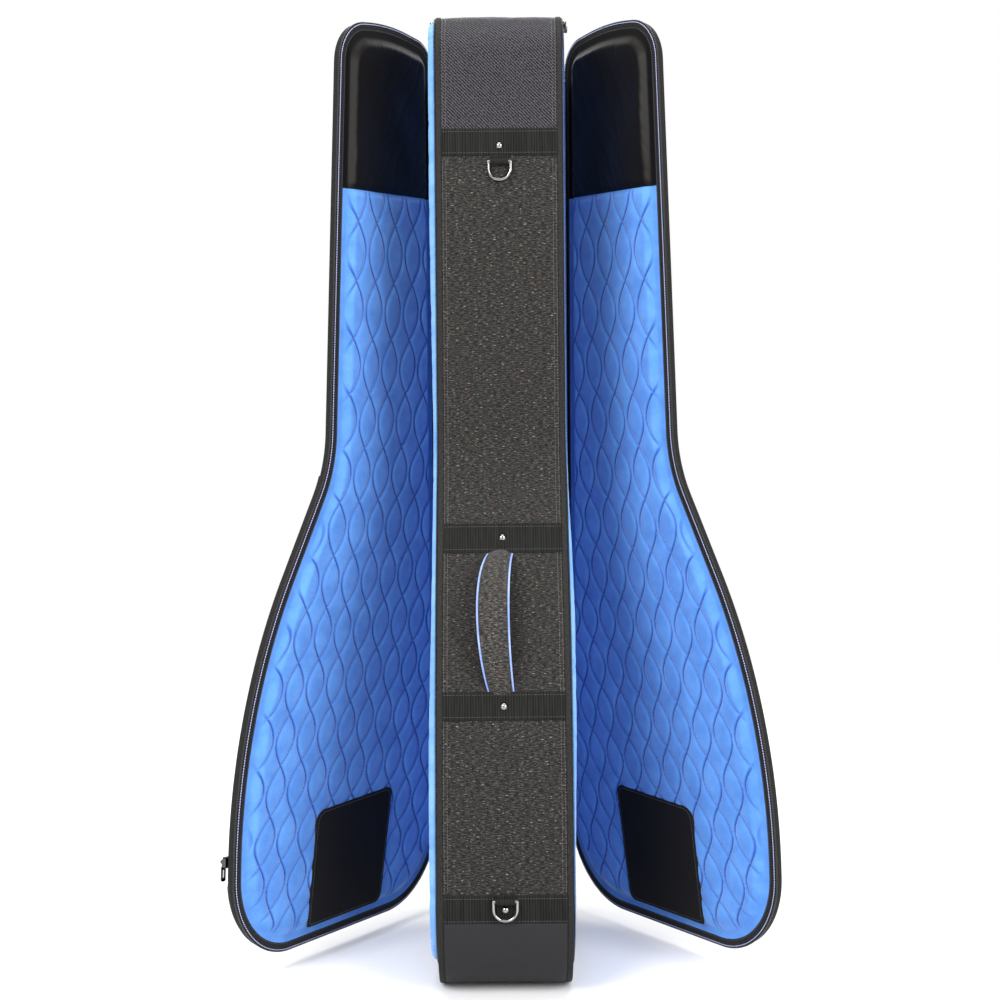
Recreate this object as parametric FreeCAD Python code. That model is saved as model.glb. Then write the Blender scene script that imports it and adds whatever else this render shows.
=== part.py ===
"""Padded double gig bag for two electric guitars, standing on its base with both doors part open.

The bag is a padded gusset ring with a divider in the middle of its width. A padded door closes each
side, and both doors hinge on fabric along the rear edge, which is straight from top to bottom.
X runs across the gusset, the handle side faces -Y, and Z is up. The origin is on the floor, under the
middle of the bag. Outlines are drawn in (u, z), where u runs forward from the rear face.
"""

import FreeCAD, Part
import math
import os

V = FreeCAD.Vector

# ---- driving dimensions, in millimetres ----
rear_y = 197.0            # Y of the rear face, where u is 0
panel_half = 70.0         # half the width of the gusset ring's fabric panels
skin = 1.5                # thickness of a fabric panel
base_proud = 1.5          # how far the base panel stands out below and in front
floor_gap = 25.0          # height of the doors' lower edge above the floor
wall = 16.0               # padded wall, fabric, foam and lining together
lining = 2.0              # thickness of the lining
tape_proud = 1.2          # how far the edge binding stands out
band_proud = 1.5          # how far a ribbed band stands out
band_half = 64.0          # half the length of a ribbed band across the gusset
binding_x = 73.0          # outer face of the gusset's binding
coil_x = 75.6             # outer face of the gusset's zip coil
lip_x = 81.0              # outer face of the padded lip inside the zip
divider_half = 6.0        # half the thickness of the divider's board
divider_cloth = 1.5       # lining on each face of the divider

door_x = 82.0             # inner face of a closed door, and the hinge axis
door_thick = 10.0         # thickness of the door at its edge
pad_rise = 7.0            # how far the door's padding swells inside its edge
pad_inset = 22.0          # distance from the door's edge to the padding
tape_wide = 9.0           # width of the black tape on the door's inner edge
teeth = 1.5               # how far the door's zip teeth stand out
door_open = 33.0          # how far the doors stand open at rest, in degrees
head_z = 898.0            # lower edge of the plain panel behind the headstocks

patch_corners = [(112.0, 180.0, 8.0), (140.0, 44.0, 14.0), (280.0, 44.0, 2.0), (258.0, 175.0, 16.0)]
patch_thick = 1.2         # thickness of the tough patch near the door's lower edge
chain_x = (0.6, 3.2)      # faces of the door's zip chain, from the door's inner face
rim_flange = 6.0          # width of the edge tape on the door's outer face
rim_thick = 1.0           # thickness of that tape
coil_deep = 2.4           # how far the gusset's coil reaches in from the doors' outline
lip_edge = 4.0            # distance of the lip from the doors' outline

hinge_z = (100.0, 1040.0)  # ends of the fabric hinge, where there is no zip
leaf_x = (58.0, 71.0)     # edges of the hinge's leaf on the gusset
leaf_out = 2.6            # outer face of that leaf, from the rear face

base_top = 90.0           # top of the base panel, under the lowest band
bands = {"band_base": (90.0, 122.0), "band_handle_lower": (304.0, 334.0),
         "band_handle_upper": (478.0, 510.0), "band_top": (929.0, 961.0)}

rivet_heights = (106.0, 319.0, 495.0, 941.0)
rivet_r = 4.3             # radius of a rivet's domed head
rivet_high = 2.4          # height of the dome above the band
ring_upper = (922.0, 0.0, 929.0)         # height of the bar, what its webbing lies on, top of the webbing
ring_lower = (116.0, band_proud, 122.0)
ring_wire = 1.75          # radius of a D-ring's wire
ring_half = 12.75         # half the D-ring's width, along the wire's middle
ring_leg = 8.0            # straight leg of the D
ring_clear = 0.35         # clearance between wire and webbing loop
ring_off = 1.0            # gap between the webbing loop and the surface behind it
tab_half = 12.5           # half the width of the webbing that holds a D-ring
loop_half = 10.6          # half its width where it is folded round the ring's bar
tab_thick = 1.5           # thickness of that webbing

handle_rise = 36.0        # height of the handle above the line between its ends
handle_half = 12.5        # half the width of the handle's core
handle_core_thick = 5.0
handle_cloth = 1.6        # cover around the core
piping_r = 1.5            # radius of the handle's edge piping

cradle_z = (800.0, 842.0)  # heights of the foam block that holds a guitar's neck
cradle_x = 46.0           # how far the block reaches from the middle of the bag
notch_u = 100.0           # middle of the neck's notch
notch_r = 31.0            # half the width of the notch
notch_floor = 12.0        # padding between the neck and the divider
strap_half = 15.0         # half the width of the neck strap
strap_thick = 2.2
strap_lap = 22.0          # how far the strap reaches past the notch

slider_half = 6.0         # half the length of a zip slider
slider_wide = 10.0
slider_low = 2.05         # gap between the outline and the slider's underside
slider_top = 6.6          # slider's upper face, from the outline
bail_high = 9.4           # middle of the bar that holds the pull, from the outline
bail_r = 1.0
bail_clear = 0.35         # clearance between the bar and the pull's eye
pull_long = 22.0
pull_half = 3.4
pull_thick = 1.6
zip_x = 79.0              # middle of the closed main zip
lower_angle = 215.0       # where the lower slider is parked on the lower rear corner
upper_angle = 99.0        # where the upper slider is parked on the top's arc

pocket_low = 116.0        # height of the zip's start on the pocket's free edge
pocket_top = 560.0        # height of the pocket's upper edge
pocket_thick = 6.0        # an empty pocket lying flat
pocket_inset = 9.6        # distance of the pocket's cloth from the door's edge, along its zip
pocket_seam = 0.5         # the same below the zip
pocket_tape = (1.0, 2.6)  # outer edge of the pocket's zip, from the door's edge, and its thickness
pocket_over = 8.0         # width of that zip along the pocket's upper edge
pocket_angle = 3.3        # where the pocket's slider is parked on the long arc of the front edge
pocket_track = 3.6        # distance from the door's edge to the middle of that slider
pocket_slider_low = 3.0   # gap between the pocket's seam and its slider's underside

# ---- outline: corners (u, z, radius), from the lower rear corner round by the handle side ----
front_foot = 400.0        # u where the line of the lower front edge meets the floor
front_lean = 0.048        # how far that line leans back per millimetre of height
hip_z = 306.0             # height of the corner above it
front_from = 110.0        # u that parts the handle side from the hinge side

upper_corners = [(front_foot - front_lean * hip_z, hip_z, 640.0), (214.0, 573.0, 150.0),
                 (184.0, 1090.0, 52.0), (92.0, 1101.0, 300.0), (0.0, 1086.0, 38.0)]


def whole_outline(low, rear_r, front_r):
    """Corners of the outline with its lower edge at a height, and the radii of its two lower corners."""
    return [(0.0, low, rear_r), (front_foot - front_lean * low, low, front_r)] + upper_corners


body_outline = whole_outline(base_proud, 95.0, 104.0)
door_outline = whole_outline(floor_gap, 115.0, 92.0)


# ---- geometry of a rounded outline ----
def unit(p, q):
    """Unit vector from p to q."""
    length = math.hypot(q[0] - p[0], q[1] - p[1])
    return ((q[0] - p[0]) / length, (q[1] - p[1]) / length)


def inset_corners(corners, inset):
    """The same outline moved inwards: corners (u, z, radius, turn), where turn is +1 on a convex corner."""
    count = len(corners)
    moved = []
    for i in range(count):
        before, here, after = corners[i - 1], corners[i], corners[(i + 1) % count]
        a, b = unit(before, here), unit(here, after)
        cross = a[0] * b[1] - a[1] * b[0]
        # both edge lines move by the inset along their inward normals (-a1, a0) and (-b1, b0)
        shift = inset * ((a[0] * b[0] + a[1] * b[1]) - 1.0) / cross
        u = here[0] - a[1] * inset + a[0] * shift
        z = here[1] + a[0] * inset + a[1] * shift
        turn = 1 if cross > 0 else -1
        moved.append((u, z, max(here[2] - turn * inset, 1.0), turn))
    return moved


def pieces_of(corners, inset):
    """Runs and arcs of an outline, in order: ("run", p, q) and ("arc", centre, radius, start, end)."""
    moved = inset_corners(corners, inset)
    count = len(moved)
    arcs = []
    for i in range(count):
        before, here, after = moved[i - 1], moved[i], moved[(i + 1) % count]
        a, b = unit(before, here), unit(here, after)
        half_turn = 0.5 * math.acos(max(-1.0, min(1.0, a[0] * b[0] + a[1] * b[1])))
        radius, turn = here[2], here[3]
        reach = radius * math.tan(half_turn)
        start = (here[0] - a[0] * reach, here[1] - a[1] * reach)
        end = (here[0] + b[0] * reach, here[1] + b[1] * reach)
        centre = (start[0] - turn * a[1] * radius, start[1] + turn * a[0] * radius)
        arcs.append((centre, radius, start, end))
    found = []
    for i in range(count):
        centre, radius, start, end = arcs[i]
        found.append(("run", arcs[i - 1][3], start))
        found.append(("arc", centre, radius, start, end))
    return found


def place(u, z, x=0.0):
    """A point of an outline in the bag's own axes."""
    return V(x, rear_y - u, z)


def outline_wire(corners, inset, x):
    """Closed wire of the outline in the plane at x."""
    edges = []
    for piece in pieces_of(corners, inset):
        if piece[0] == "run":
            edges.append(Part.LineSegment(place(*piece[1], x), place(*piece[2], x)).toShape())
            continue
        _, centre, radius, start, end = piece
        middle = ((start[0] + end[0]) / 2, (start[1] + end[1]) / 2)
        out = unit(centre, middle)
        top = (centre[0] + out[0] * radius, centre[1] + out[1] * radius)
        edges.append(Part.Arc(place(*start, x), place(*top, x), place(*end, x)).toShape())
    return Part.Wire(edges)


def plate(corners, inset, x0, x1):
    """Solid plate with the outline's shape, from x0 to x1."""
    return Part.Face(outline_wire(corners, inset, x0)).extrude(V(x1 - x0, 0, 0))


def ring(outer, out_inset, inner, in_inset, x0, x1):
    """Solid ring between two outlines, from x0 to x1."""
    return plate(outer, out_inset, x0, x1).cut(plate(inner, in_inset, x0, x1))


def slab(u0, u1, z0, z1, x0, x1):
    """Box from its limits across, forward and up."""
    return Part.makeBox(x1 - x0, u1 - u0, z1 - z0, V(x0, rear_y - u1, z0))


def handle_side(z0, z1):
    """All the space on the handle side between two heights."""
    return slab(front_from, 500.0, z0, z1, -200.0, 200.0)


def hinge_side(z0, z1):
    """All the space on the hinge side between two heights."""
    return slab(-10.0, front_from, z0, z1, -200.0, 200.0)


def level(z0, z1):
    """All the space between two heights."""
    return slab(-10.0, 500.0, z0, z1, -200.0, 200.0)


def prism(points, x0, x1):
    """Prism with a polygon of (u, z) points for its section, from x0 to x1."""
    corners = [place(u, z, x0) for u, z in points]
    return Part.Face(Part.makePolygon(corners + corners[:1])).extrude(V(x1 - x0, 0, 0))


def front_point(height):
    """Point of the handle side at a height, with its outward normal: (u, z), (nu, nz)."""
    for piece in pieces_of(body_outline, 0.0):
        if piece[0] == "run":
            p, q = piece[1], piece[2]
            if q[0] > front_from and min(p[1], q[1]) <= height <= max(p[1], q[1]) and p[1] != q[1]:
                share = (height - p[1]) / (q[1] - p[1])
                along = unit(p, q)
                return (p[0] + share * (q[0] - p[0]), height), (along[1], -along[0])
            continue
        _, centre, radius, start, end = piece
        if end[0] > front_from and min(start[1], end[1]) <= height <= max(start[1], end[1]):
            side = 1 if end[0] > centre[0] else -1
            reach = side * math.sqrt(radius ** 2 - (height - centre[1]) ** 2)
            return (centre[0] + reach, height), (abs(reach) / radius, side * (height - centre[1]) / radius)
    raise ValueError("no front point at that height")


def beyond(height, upward):
    """Everything above, or below, the cut square to the handle side at a height."""
    (u, z), n = front_point(height)
    along = (-n[1], n[0]) if upward else (n[1], -n[0])
    far, reach = 600.0, 1600.0
    p, q = (u - n[0] * far, z - n[1] * far), (u + n[0] * far, z + n[1] * far)
    moved = [(c[0] + along[0] * reach, c[1] + along[1] * reach) for c in (q, p)]
    return prism([p, q] + moved, -200.0, 200.0)


def front_strip(shape, low, high):
    """The part of a ring on the handle side between two heights, cut square to its surface."""
    strip = shape.common(handle_side(-50.0, 1200.0))
    return strip.cut(beyond(low, False)).cut(beyond(high, True))


def mirrored(shape):
    """The same piece on the other side of the bag."""
    return shape.mirror(V(0, 0, 0), V(1, 0, 0))


def save(name, shape):
    """Writes one node. A single solid is written as a plain solid, several as a compound."""
    solids = shape.Solids
    shape = solids[0] if len(solids) == 1 else Part.makeCompound(solids)
    shape.exportStep("parts/" + name + ".step")


# ---- gusset ring ----
def gusset_foam():
    return ring(body_outline, skin, door_outline, wall - lining, -panel_half, panel_half)


def gusset_skin():
    return ring(body_outline, 0.0, body_outline, skin, -panel_half, panel_half)


def spine_panel():
    middle_low, middle_high = sum(bands["band_base"]) / 2, sum(bands["band_top"]) / 2
    return front_strip(gusset_skin(), middle_low, middle_high)


def hinge_side_panel():
    middle_low, middle_high = sum(bands["band_base"]) / 2, sum(bands["band_top"]) / 2
    return gusset_skin().common(hinge_side(middle_low, middle_high))


def top_panel():
    middle = sum(bands["band_top"]) / 2
    front = gusset_skin().common(handle_side(head_z, 1200.0)).cut(beyond(middle, False))
    rear = gusset_skin().common(hinge_side(middle, 1200.0))
    return front.fuse(rear).removeSplitter()


def base_panel():
    """Tough panel under the bag that wraps up both ends; its outer layer stops at the lowest band."""
    middle = sum(bands["band_base"]) / 2
    lower = level(-50.0, hip_z)
    inner = gusset_skin().common(lower).cut(beyond(middle, True))
    inner = inner.cut(hinge_side(middle, hip_z))
    outer = ring(body_outline, -base_proud, body_outline, 0.0, -band_half, band_half).common(lower)
    outer = outer.cut(beyond(base_top, True)).cut(hinge_side(base_top, hip_z))
    return inner.fuse(outer).removeSplitter()


def gusset_lining():
    return ring(door_outline, wall - lining, door_outline, wall, -lip_x + 1, lip_x - 1)


def lip():
    """Padded lining roll that stands inside the zip and closes the gap behind it."""
    return ring(door_outline, lip_edge, door_outline, wall - lining, panel_half, lip_x)


def gusset_binding():
    """Edge tape: a flange over the panel's edge, and the side face down to the padded lip."""
    flange = ring(body_outline, -tape_proud, body_outline, 0.0, band_half, binding_x)
    side = ring(body_outline, 0.0, door_outline, lip_edge, panel_half, binding_x)
    return flange.fuse(side).removeSplitter()


def gusset_zip():
    """Coil all the way round except along the fabric hinge."""
    coil = ring(door_outline, 0.0, door_outline, coil_deep, binding_x, coil_x)
    return coil.cut(slab(-10.0, 30.0, *hinge_z, -200.0, 200.0))


def hinge_strip():
    """Fabric hinge: the leaf that is sewn along the rear edge of the gusset."""
    return slab(-leaf_out, -tape_proud, *hinge_z, *leaf_x)


def divider_board():
    return plate(door_outline, wall, -divider_half, divider_half)


def divider_lining():
    return plate(door_outline, wall, divider_half, divider_half + divider_cloth)


# ---- bands, rivets and D-rings ----
def band(low, high):
    layer = ring(body_outline, -band_proud, body_outline, 0.0, -band_half, band_half)
    return front_strip(layer, low, high)


def out_from(height, away):
    """Point that far outside the handle side at a height."""
    (u, z), n = front_point(height)
    return place(u + n[0] * away, z + n[1] * away)


def rivet(height):
    """Domed rivet head on a band, square to its surface."""
    _, n = front_point(height)
    seat = out_from(height, band_proud)
    ball_r = (rivet_r ** 2 + rivet_high ** 2) / (2 * rivet_high)
    outward = V(0, -n[0], n[1])
    ball = Part.makeSphere(ball_r, seat - outward * (ball_r - rivet_high))
    return ball.common(Part.makeCylinder(rivet_r + 1, rivet_high + 1, seat, outward))


def rivets():
    return Part.makeCompound([rivet(height) for height in rivet_heights])


def ring_centre(height, seat):
    """Middle of a D-ring's straight bar: it hangs clear of a surface that is seat outside the panel."""
    return out_from(height, seat + ring_off + tab_thick + ring_clear + ring_wire)


def d_ring(height, seat):
    """D-ring hanging straight down from its bar."""
    bar = ring_centre(height, seat)
    down = V(0, 0, -1)
    ends = [bar + V(s * ring_half, 0, 0) for s in (-1, 1)]
    foot = bar + down * ring_leg
    shape = Part.makeCylinder(ring_wire, 2 * ring_half, ends[0], V(1, 0, 0))
    for end in ends:
        shape = shape.fuse(Part.makeSphere(ring_wire, end))
        shape = shape.fuse(Part.makeCylinder(ring_wire, ring_leg, end, down))
    start = foot + V(ring_half, 0, 0)
    circle = Part.Face(Part.Wire(Part.makeCircle(ring_wire, start, V(0, 0, 1))))
    return shape.fuse(circle.revolve(foot, V(0, 1, 0), 180)).removeSplitter()


def ring_tab(height, seat, top):
    """Webbing loop around a D-ring's bar, with a tail that runs up the surface to top."""
    bar = ring_centre(height, seat)
    hole_r = ring_wire + ring_clear
    start = bar - V(loop_half, 0, 0)
    loop = Part.makeCylinder(hole_r + tab_thick, 2 * loop_half, start, V(1, 0, 0))
    tail = ring(body_outline, -(seat + tab_thick), body_outline, -seat, -tab_half, tab_half)
    tail = front_strip(tail, height + 2.5, top)
    near = ring(body_outline, -(seat + 5), body_outline, -seat, -loop_half, loop_half)
    near = front_strip(near, height - 1.5, height + 2.5)
    web = loop.fuse(near).fuse(tail)
    return web.cut(Part.makeCylinder(hole_r, 2 * loop_half, start, V(1, 0, 0))).removeSplitter()


# ---- carry handle ----
def handle_arc():
    """Centre and radius of the handle's arch, and the directions to its two ends, in (u, z)."""
    low, _ = front_point(bands["band_handle_lower"][1])
    high, _ = front_point(bands["band_handle_upper"][0])
    along = unit(low, high)
    out = (along[1], -along[0])
    half = math.hypot(high[0] - low[0], high[1] - low[1]) / 2
    radius = (half ** 2 + handle_rise ** 2) / (2 * handle_rise)
    middle = ((low[0] + high[0]) / 2, (low[1] + high[1]) / 2)
    drop = radius - handle_rise
    return (middle[0] - out[0] * drop, middle[1] - out[1] * drop), radius


def handle_space():
    """All the space on the handle side around the arch."""
    return handle_side(bands["band_handle_lower"][0], bands["band_handle_upper"][1])


def arch(inner_r, outer_r, x0, x1):
    """Part of a round arch that stands outside the bag, from x0 to x1."""
    (u, z), _ = handle_arc()
    centre = place(u, z, x0)
    disc = Part.makeCylinder(outer_r, x1 - x0, centre, V(1, 0, 0))
    disc = disc.cut(Part.makeCylinder(inner_r, x1 - x0, centre, V(1, 0, 0)))
    disc = disc.cut(plate(body_outline, -band_proud, -100.0, 100.0))
    return disc.common(handle_space())


def handle_core():
    _, radius = handle_arc()
    half = handle_core_thick / 2
    return arch(radius - half, radius + half, -handle_half, handle_half)


def handle_cover():
    _, radius = handle_arc()
    half = handle_core_thick / 2 + handle_cloth
    wide = handle_half + handle_cloth
    return arch(radius - half, radius + half, -wide, wide).cut(handle_core())


def handle_piping():
    """Piping along both edges of the handle."""
    (u, z), radius = handle_arc()
    sides = []
    for side in (-1, 1):
        x = side * (handle_half + handle_cloth + piping_r)
        tube = Part.makeTorus(radius, piping_r, place(u, z, x), V(1, 0, 0))
        tube = tube.cut(plate(body_outline, -band_proud, -100.0, 100.0))
        sides.append(tube.common(handle_space()))
    return Part.makeCompound(sides)


# ---- neck cradles ----
def neck_cradle():
    """Foam block across a compartment, with a round-bottomed notch for the neck."""
    inside = plate(door_outline, wall, divider_half + divider_cloth, cradle_x)
    block = inside.common(level(*cradle_z))
    floor_x = divider_half + divider_cloth + notch_floor
    bottom = Part.makeCylinder(notch_r, cradle_z[1] - cradle_z[0],
                               V(floor_x + notch_r, rear_y - notch_u, cradle_z[0]), V(0, 0, 1))
    return block.cut(bottom)


def neck_strap():
    """Hook-and-loop strap over the notch, sewn to the block's face."""
    middle = sum(cradle_z) / 2
    reach = notch_r + strap_lap
    return slab(notch_u - reach, notch_u + reach, middle - strap_half, middle + strap_half,
                cradle_x, cradle_x + strap_thick)


# ---- doors ----
def opened(shape):
    """Turns a right-hand door piece from closed to its rest angle."""
    turned = shape.copy()
    turned.rotate(place(0, 0, door_x), V(0, 0, 1), door_open)
    return turned


def door_shell():
    return plate(door_outline, tape_proud, door_x + door_thick - skin, door_x + door_thick)


def door_foam():
    return plate(door_outline, tape_proud, door_x + lining, door_x + door_thick - skin)


def door_inside():
    """Quilted lining with its padding: thin along the edge, swelling inwards away from it."""
    edge = plate(door_outline, tape_wide, door_x, door_x + lining)
    pad = plate(door_outline, pad_inset, door_x - pad_rise, door_x)
    return edge.fuse(pad).removeSplitter()


def door_lining():
    return door_inside().common(level(0.0, head_z))


def head_panel():
    return door_inside().common(level(head_z, 1200.0))


def wear_patch():
    """Tough leaning patch where a guitar's lower end rubs; two of its corners are round."""
    face_x = door_x - pad_rise
    return plate(patch_corners, 0.0, face_x - patch_thick, face_x)


def door_binding():
    """Edge tape of the door: round the rim, with a wide flange inside and a narrow one outside."""
    rim = ring(door_outline, 0.0, door_outline, tape_proud, door_x, door_x + door_thick)
    inside = ring(door_outline, tape_proud, door_outline, tape_wide, door_x, door_x + lining)
    outer_x = door_x + door_thick
    outside = ring(door_outline, 0.0, door_outline, rim_flange, outer_x, outer_x + rim_thick)
    return rim.fuse(inside).fuse(outside).removeSplitter()


def door_zip():
    """Zip chain round the rim except along the fabric hinge."""
    chain = ring(door_outline, -teeth, door_outline, 0.0, door_x + chain_x[0], door_x + chain_x[1])
    return chain.cut(slab(-10.0, 30.0, *hinge_z, -200.0, 200.0))


def pocket_face():
    """X of the surface that the pocket lies on."""
    return door_x + door_thick + rim_thick


def pocket_panel():
    """Accessory pocket on the outside of the left door, lying empty and flat."""
    low = plate(door_outline, pocket_seam, pocket_face(), pocket_face() + pocket_thick)
    low = low.common(level(0.0, pocket_low))
    high = plate(door_outline, pocket_inset, pocket_face(), pocket_face() + pocket_thick)
    high = high.common(level(pocket_low, pocket_top))
    return low.fuse(high).removeSplitter()


def pocket_zip():
    """Zip along the pocket's free edge and over its top."""
    tape_edge, thick = pocket_tape
    edge = ring(door_outline, tape_edge, door_outline, pocket_inset, pocket_face(), pocket_face() + thick)
    edge = edge.common(handle_side(pocket_low, pocket_top))
    over = plate(door_outline, tape_edge, pocket_face(), pocket_face() + thick)
    over = over.common(level(pocket_top, pocket_top + pocket_over))
    return edge.fuse(over).removeSplitter()


# ---- zip sliders ----
def framed(across, along, out, point):
    """Matrix that puts a small piece at a point, with its three axes along the given directions."""
    return FreeCAD.Matrix(across.x, along.x, out.x, point.x, across.y, along.y, out.y, point.y,
                          across.z, along.z, out.z, point.z, 0, 0, 0, 1)


def slider_at(point, along, out, low):
    """Slider over a zip that runs along one direction: a block with a barred bail on its outer side."""
    top = low + slider_top - slider_low
    bar = low + bail_high - slider_low
    body = Part.makeBox(slider_wide, 2 * slider_half, top - low, V(-slider_wide / 2, -slider_half, low))
    body = body.makeFillet(1.6, [e for e in body.Edges if abs(e.Vertexes[0].Z - e.Vertexes[1].Z) > 1])
    for side in (-1, 1):
        post = Part.makeBox(1.2, 2.4, bar - top + 1.2, V(side * 3.2 - 0.6, -1.2, top))
        body = body.fuse(post)
    body = body.fuse(Part.makeCylinder(bail_r, 6.4, V(-3.2, 0, bar), V(1, 0, 0)))
    return body.removeSplitter().transformGeometry(framed(along.cross(out), along, out, point))


def pull_at(pivot, direction, across):
    """Zip pull: an eye around the bail's bar and a flat tongue with a slot, pointing along direction."""
    eye_r = bail_r + bail_clear
    eye = Part.makeCylinder(eye_r + 1.1, 4.4, V(-2.2, 0, 0), V(1, 0, 0))
    tongue = Part.makeBox(2 * pull_half, pull_long - 5, pull_thick, V(-pull_half, 5, -pull_thick / 2))
    tongue = tongue.makeFillet(2.6, [e for e in tongue.Edges if abs(e.Vertexes[0].Z - e.Vertexes[1].Z) > 1])
    neck = Part.makeBox(4.4, 5.5, pull_thick, V(-2.2, 0.5, -pull_thick / 2))
    slot = Part.makeBox(2.6, 9.0, 2 * pull_thick, V(-1.3, 9.0, -pull_thick))
    pull = eye.fuse(neck).fuse(tongue).cut(slot)
    pull = pull.cut(Part.makeCylinder(eye_r, 4.4, V(-2.2, 0, 0), V(1, 0, 0)))
    return pull.removeSplitter().transformGeometry(framed(across, direction, across.cross(direction), pivot))


def corner_arc(index):
    """Centre and radius of one rounded corner of the doors' outline, in (u, z)."""
    piece = pieces_of(door_outline, 0.0)[2 * index + 1]
    return piece[1], piece[2]


def on_corner(index, angle, away):
    """Point that far outside a corner's arc, at an angle from forward, and the outward direction there."""
    (u, z), radius = corner_arc(index)
    n = (math.cos(math.radians(angle)), math.sin(math.radians(angle)))
    reach = radius + away
    return (u + n[0] * reach, z + n[1] * reach), n


def main_slider(index, angle):
    point, n = on_corner(index, angle, 0.0)
    return slider_at(place(*point, zip_x), V(0, n[1], n[0]), V(0, -n[0], n[1]), slider_low)


def main_pull(index, angle, direction):
    point, _ = on_corner(index, angle, bail_high)
    return pull_at(place(*point, zip_x), direction, V(1, 0, 0))


def pocket_slider_spot():
    """Where the pocket's slider is parked on the closed door, and the direction of its zip."""
    (u, z), n = on_corner(2, pocket_angle, -pocket_track)
    return place(u, z, pocket_face()), V(0, n[1], n[0])


def pocket_slider():
    spot, along = pocket_slider_spot()
    return slider_at(spot, along, V(1, 0, 0), pocket_slider_low)


def pocket_pull():
    spot, along = pocket_slider_spot()
    bar = spot + V(pocket_slider_low + bail_high - slider_low, 0, 0)
    return pull_at(bar, along * -1, along.cross(V(1, 0, 0)))


# ---- write every node ----
os.makedirs("parts", exist_ok=True)

save("gusset_foam", gusset_foam())
save("spine_panel", spine_panel())
save("hinge_side_panel", hinge_side_panel())
save("top_panel", top_panel())
save("base_panel", base_panel())
save("gusset_lining", gusset_lining())
save("divider_board", divider_board())
for band_name, (band_low, band_high) in bands.items():
    save(band_name, band(band_low, band_high))
save("rivets", rivets())
save("d_ring_upper", d_ring(*ring_upper[:2]))
save("d_ring_lower", d_ring(*ring_lower[:2]))
save("ring_tab_upper", ring_tab(*ring_upper))
save("ring_tab_lower", ring_tab(*ring_lower))
save("handle_core", handle_core())
save("handle_cover", handle_cover())
save("handle_piping", handle_piping())

paired = {"lip": lip(), "gusset_binding": gusset_binding(), "gusset_zip": gusset_zip(),
          "hinge_strip": hinge_strip(), "divider_lining": divider_lining(),
          "neck_cradle": neck_cradle(), "neck_strap": neck_strap(),
          "slider_lower": main_slider(0, lower_angle), "slider_upper": main_slider(5, upper_angle),
          "pull_lower": main_pull(0, lower_angle, V(0, 0, -1)),
          "pull_upper": main_pull(5, upper_angle, V(0, -1, 0))}
paired_doors = {"door_shell": door_shell(), "door_foam": door_foam(), "door_lining": door_lining(),
                "door_head_panel": head_panel(), "door_wear_patch": wear_patch(),
                "door_binding": door_binding(), "door_zip": door_zip()}
for name, shape in paired_doors.items():
    paired[name] = opened(shape)
for name, shape in paired.items():
    save(name + "_right", shape)
    save(name + "_left", mirrored(shape))

left_only = {"pocket_panel": pocket_panel(), "pocket_zip": pocket_zip(),
             "pocket_slider": pocket_slider(), "pocket_pull": pocket_pull()}
for name, shape in left_only.items():
    save(name, mirrored(opened(shape)))
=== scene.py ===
"""Visual model of the padded double gig bag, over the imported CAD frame.

Lengths are written in millimetres, as in the CAD, and turned into metres when a mesh is made. X runs across
the gusset, the handle side faces -Y and Z is up. Outlines are in (u, z): u runs forward from the rear face.
"""

import math

import bpy
import numpy as np
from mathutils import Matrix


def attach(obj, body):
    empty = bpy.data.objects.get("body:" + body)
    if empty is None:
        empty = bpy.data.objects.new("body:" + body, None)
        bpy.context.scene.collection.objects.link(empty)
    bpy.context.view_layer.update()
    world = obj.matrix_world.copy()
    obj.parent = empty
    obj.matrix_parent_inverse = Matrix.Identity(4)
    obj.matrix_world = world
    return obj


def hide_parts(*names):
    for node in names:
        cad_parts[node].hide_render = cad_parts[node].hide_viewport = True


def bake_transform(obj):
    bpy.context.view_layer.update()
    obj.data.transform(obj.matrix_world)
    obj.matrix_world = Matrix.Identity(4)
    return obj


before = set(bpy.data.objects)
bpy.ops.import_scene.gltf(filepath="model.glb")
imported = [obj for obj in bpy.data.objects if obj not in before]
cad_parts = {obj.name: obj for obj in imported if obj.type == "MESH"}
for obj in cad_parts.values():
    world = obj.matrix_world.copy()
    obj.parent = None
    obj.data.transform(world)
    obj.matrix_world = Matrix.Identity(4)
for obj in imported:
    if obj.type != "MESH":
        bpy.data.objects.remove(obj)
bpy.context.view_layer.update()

sides = ((1, "_right"), (-1, "_left"))

# ---- dimensions that the CAD has too ----
rear_y, binding_x, divider_face, wall = 197.0, 73.0, 7.5, 16.0
door_x, door_thick, pad_rise, pad_inset, tape_wide = 82.0, 10.0, 7.0, 22.0, 9.0
door_open = math.radians(33.0)
head_z = 898.0
front_foot, front_lean, hip_z = 400.0, 0.048, 306.0
upper_corners = [(front_foot - front_lean * hip_z, hip_z, 640.0), (214.0, 573.0, 150.0),
                 (184.0, 1090.0, 52.0), (92.0, 1101.0, 300.0), (0.0, 1086.0, 38.0)]
bands = {"band_base": (90.0, 122.0), "band_handle_lower": (304.0, 334.0),
         "band_handle_upper": (478.0, 510.0), "band_top": (929.0, 961.0)}
hinge_z = (100.0, 1040.0)
pocket_low, pocket_top, pocket_thick, rim_face = 116.0, 560.0, 6.0, 93.0
pocket_seam, pocket_inset = 0.5, 9.6
patch_corners = [(112.0, 180.0, 8.0), (140.0, 44.0, 14.0), (280.0, 44.0, 2.0), (258.0, 175.0, 16.0)]
cradle_z, cradle_x, notch_u, notch_r, notch_x = (800.0, 842.0), 46.0, 100.0, 31.0, 50.5
handle_rise = 36.0
ring_wire, ring_clear, ring_off, tab_thick = 1.75, 0.35, 1.0, 1.5

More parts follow.
